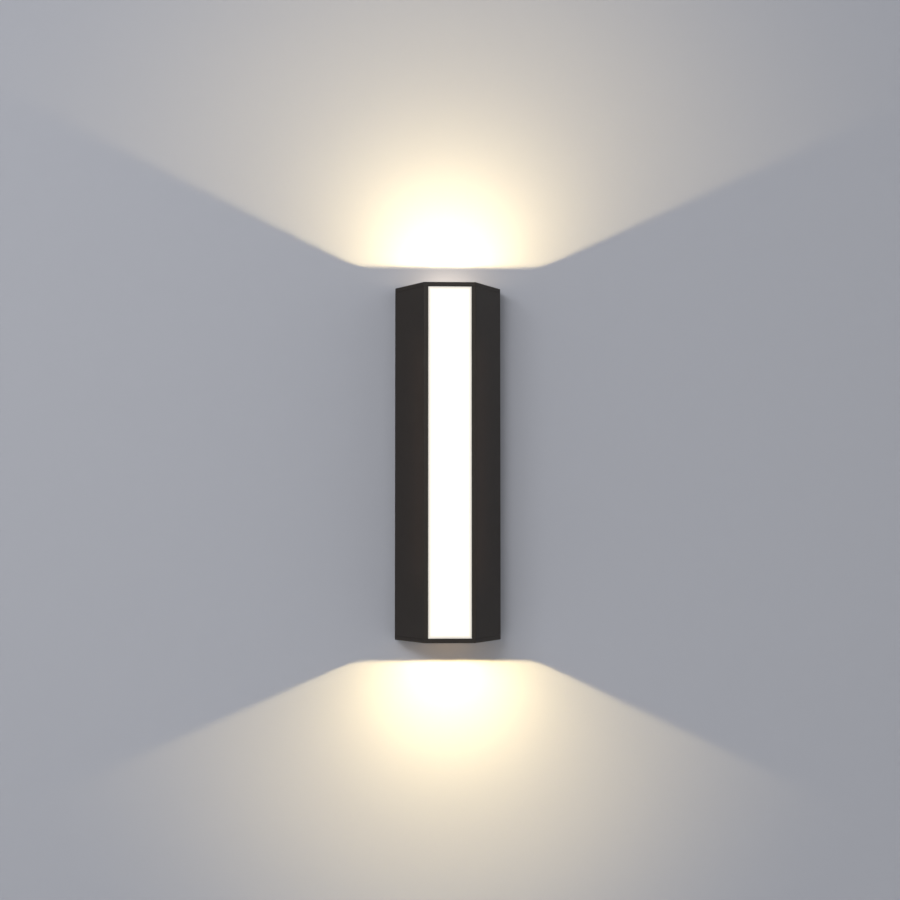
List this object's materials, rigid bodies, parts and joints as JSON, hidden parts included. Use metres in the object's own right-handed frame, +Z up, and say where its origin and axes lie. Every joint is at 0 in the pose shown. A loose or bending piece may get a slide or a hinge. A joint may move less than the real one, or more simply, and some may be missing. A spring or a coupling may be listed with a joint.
{
  "type": "outdoor wall light",
  "caption": "Black half-hexagon outdoor wall light with a glowing front strip and end wells that light the wall above and below.",
  "frame": {"origin": "on the wall plane, midway between the bracket's two screw slots, at the middle of the body", "axes": "+Z up, +Y into the wall, so the lit front faces -Y; +X to the right seen from the front"},
  "size_m": [0.075, 0.0498, 0.25],
  "materials": {
    "black_coat": "fine-textured black powder coat on aluminium",
    "opal": "opal acrylic, lit from behind",
    "clear_glass": "clear toughened glass",
    "silicone": "dark grey silicone",
    "foam_rubber": "black closed-cell rubber",
    "bare_aluminium": "mill finish",
    "white_board": "metal-core circuit board with white solder mask",
    "phosphor": "phosphor under clear resin",
    "zinc_steel": "bright zinc plate",
    "black_steel": "black oxide",
    "brass": "plain brass",
    "tinned_copper": "tin plate",
    "white_plastic": "moulded, matt",
    "brown_pvc": "wire insulation",
    "blue_pvc": "wire insulation",
    "green_yellow_pvc": "wire insulation",
    "red_black_pvc": "wire insulation"
  },
  "bodies": {
    "bracket": {"wall_bracket": "zinc_steel"},
    "lamp": {"bottom_board_screws": "zinc_steel", "bottom_cap": "black_coat", "bottom_cap_gasket": "silicone", "bottom_cap_screws": "black_steel", "bottom_glass": "clear_glass", "bottom_glass_seal": "silicone", "bottom_led": "phosphor", "bottom_led_board": "white_board", "bottom_led_wires": "red_black_pvc", "diffuser_seals": "silicone", "driver_screws": "zinc_steel", "earth_lug": "tinned_copper", "earth_screw": "zinc_steel", "earth_wire": "green_yellow_pvc", "front_board_screws": "zinc_steel", "front_diffuser": "opal", "front_led_board": "white_board", "front_led_wires": "red_black_pvc", "front_leds": "phosphor", "housing": "black_coat", "led_carrier": "bare_aluminium", "led_driver": "white_plastic", "live_wire": "brown_pvc", "neutral_wire": "blue_pvc", "terminal_block": "white_plastic", "terminal_clamps": "brass", "terminal_mount_screws": "zinc_steel", "terminal_screws": "brass", "top_board_screws": "zinc_steel", "top_cap": "black_coat", "top_cap_gasket": "silicone", "top_cap_screws": "black_steel", "top_glass": "clear_glass", "top_glass_seal": "silicone", "top_led": "phosphor", "top_led_board": "white_board", "top_led_wires": "red_black_pvc", "wall_gasket": "foam_rubber", "web_grommet": "foam_rubber"},
    "left_screw": {"left_fixing_screw": "black_steel"},
    "right_screw": {"right_fixing_screw": "black_steel"}
  },
  "joints": [
    {"name": "lamp_pull_off", "type": "slide", "parent": "bracket", "child": "lamp", "axis": [0, -1, 0], "range_m": [0, 0.03]},
    {"name": "left_screw_out", "type": "slide", "parent": "lamp", "child": "left_screw", "axis": [-1, 0, 0], "range_m": [0, 0.003]},
    {"name": "right_screw_out", "type": "slide", "parent": "lamp", "child": "right_screw", "axis": [1, 0, 0], "range_m": [0, 0.003]}
  ]
}
